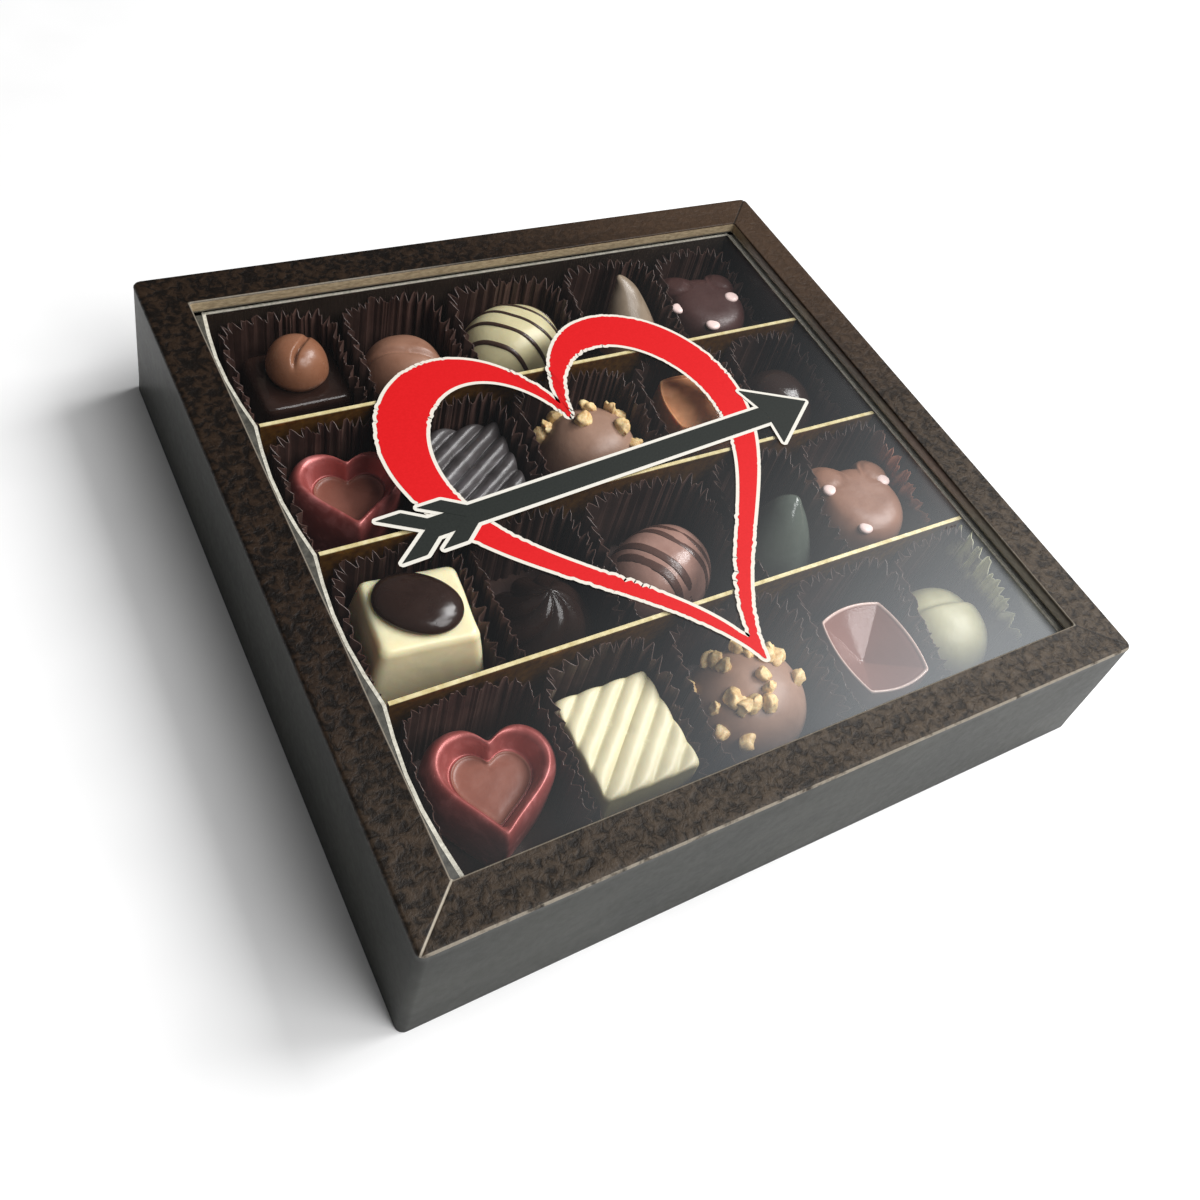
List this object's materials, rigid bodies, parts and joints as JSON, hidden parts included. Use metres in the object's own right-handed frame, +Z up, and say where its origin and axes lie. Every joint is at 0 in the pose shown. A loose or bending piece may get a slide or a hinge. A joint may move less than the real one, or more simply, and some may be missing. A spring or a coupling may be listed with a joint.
{
  "type": "box of chocolate pralines",
  "caption": "Flat gift carton with a clear sunk window over rows of assorted filled chocolates, each in a pleated paper cup.",
  "frame": {"origin": "middle of the underside of the carton", "axes": "+Z up through the window, +Y from the front edge to the back edge, +X from left to right along the front edge"},
  "size_m": [0.1744, 0.1704, 0.033],
  "materials": {
    "carton": "satin, mottled print",
    "window": "gloss, clear",
    "base_card": "matte",
    "tray_card": "gloss",
    "gold_card": "metallic gold",
    "cup_paper": "satin",
    "dark_chocolate": "satin",
    "milk_chocolate": "satin",
    "white_chocolate": "satin",
    "red_coating": "pearly",
    "caramel_coating": "satin",
    "red_ink": "satin",
    "dark_ink": "satin"
  },
  "bodies": {
    "root": {"lid": "carton", "window_film": "window", "base_panel": "base_card", "inner_tray": "tray_card", "divider_1": "gold_card", "divider_2": "gold_card", "divider_3": "gold_card", "cup_1_1": "cup_paper", "cup_1_2": "cup_paper", "cup_1_3": "cup_paper", "cup_1_4": "cup_paper", "cup_1_5": "cup_paper", "cup_2_1": "cup_paper", "cup_2_2": "cup_paper", "cup_2_3": "cup_paper", "cup_2_4": "cup_paper", "cup_2_5": "cup_paper", "cup_3_1": "cup_paper", "cup_3_2": "cup_paper", "cup_3_3": "cup_paper", "cup_3_4": "cup_paper", "cup_3_5": "cup_paper", "cup_4_1": "cup_paper", "cup_4_2": "cup_paper", "cup_4_3": "cup_paper", "cup_4_4": "cup_paper", "cup_4_5": "cup_paper", "coffee_slab": "dark_chocolate", "coffee_bean_knob": "milk_chocolate", "grooved_milk_dome": "milk_chocolate", "striped_white_dome": "white_chocolate", "brown_horn": "milk_chocolate", "dark_bear": "dark_chocolate", "red_heart_back": "red_coating", "ribbed_dark_bar": "dark_chocolate", "nut_dome_back": "milk_chocolate", "caramel_square": "caramel_coating", "dark_dome": "dark_chocolate", "white_block": "white_chocolate", "dark_cabochon": "dark_chocolate", "piped_rosette": "dark_chocolate", "striped_milk_dome": "milk_chocolate", "dark_horn": "dark_chocolate", "milk_bear": "milk_chocolate", "red_heart_front": "red_coating", "ribbed_white_block": "white_chocolate", "nut_dome_front": "milk_chocolate", "faceted_milk_square": "milk_chocolate", "white_shell": "white_chocolate", "print_heart": "red_ink", "print_arrow": "dark_ink"}
  },
  "joints": []
}
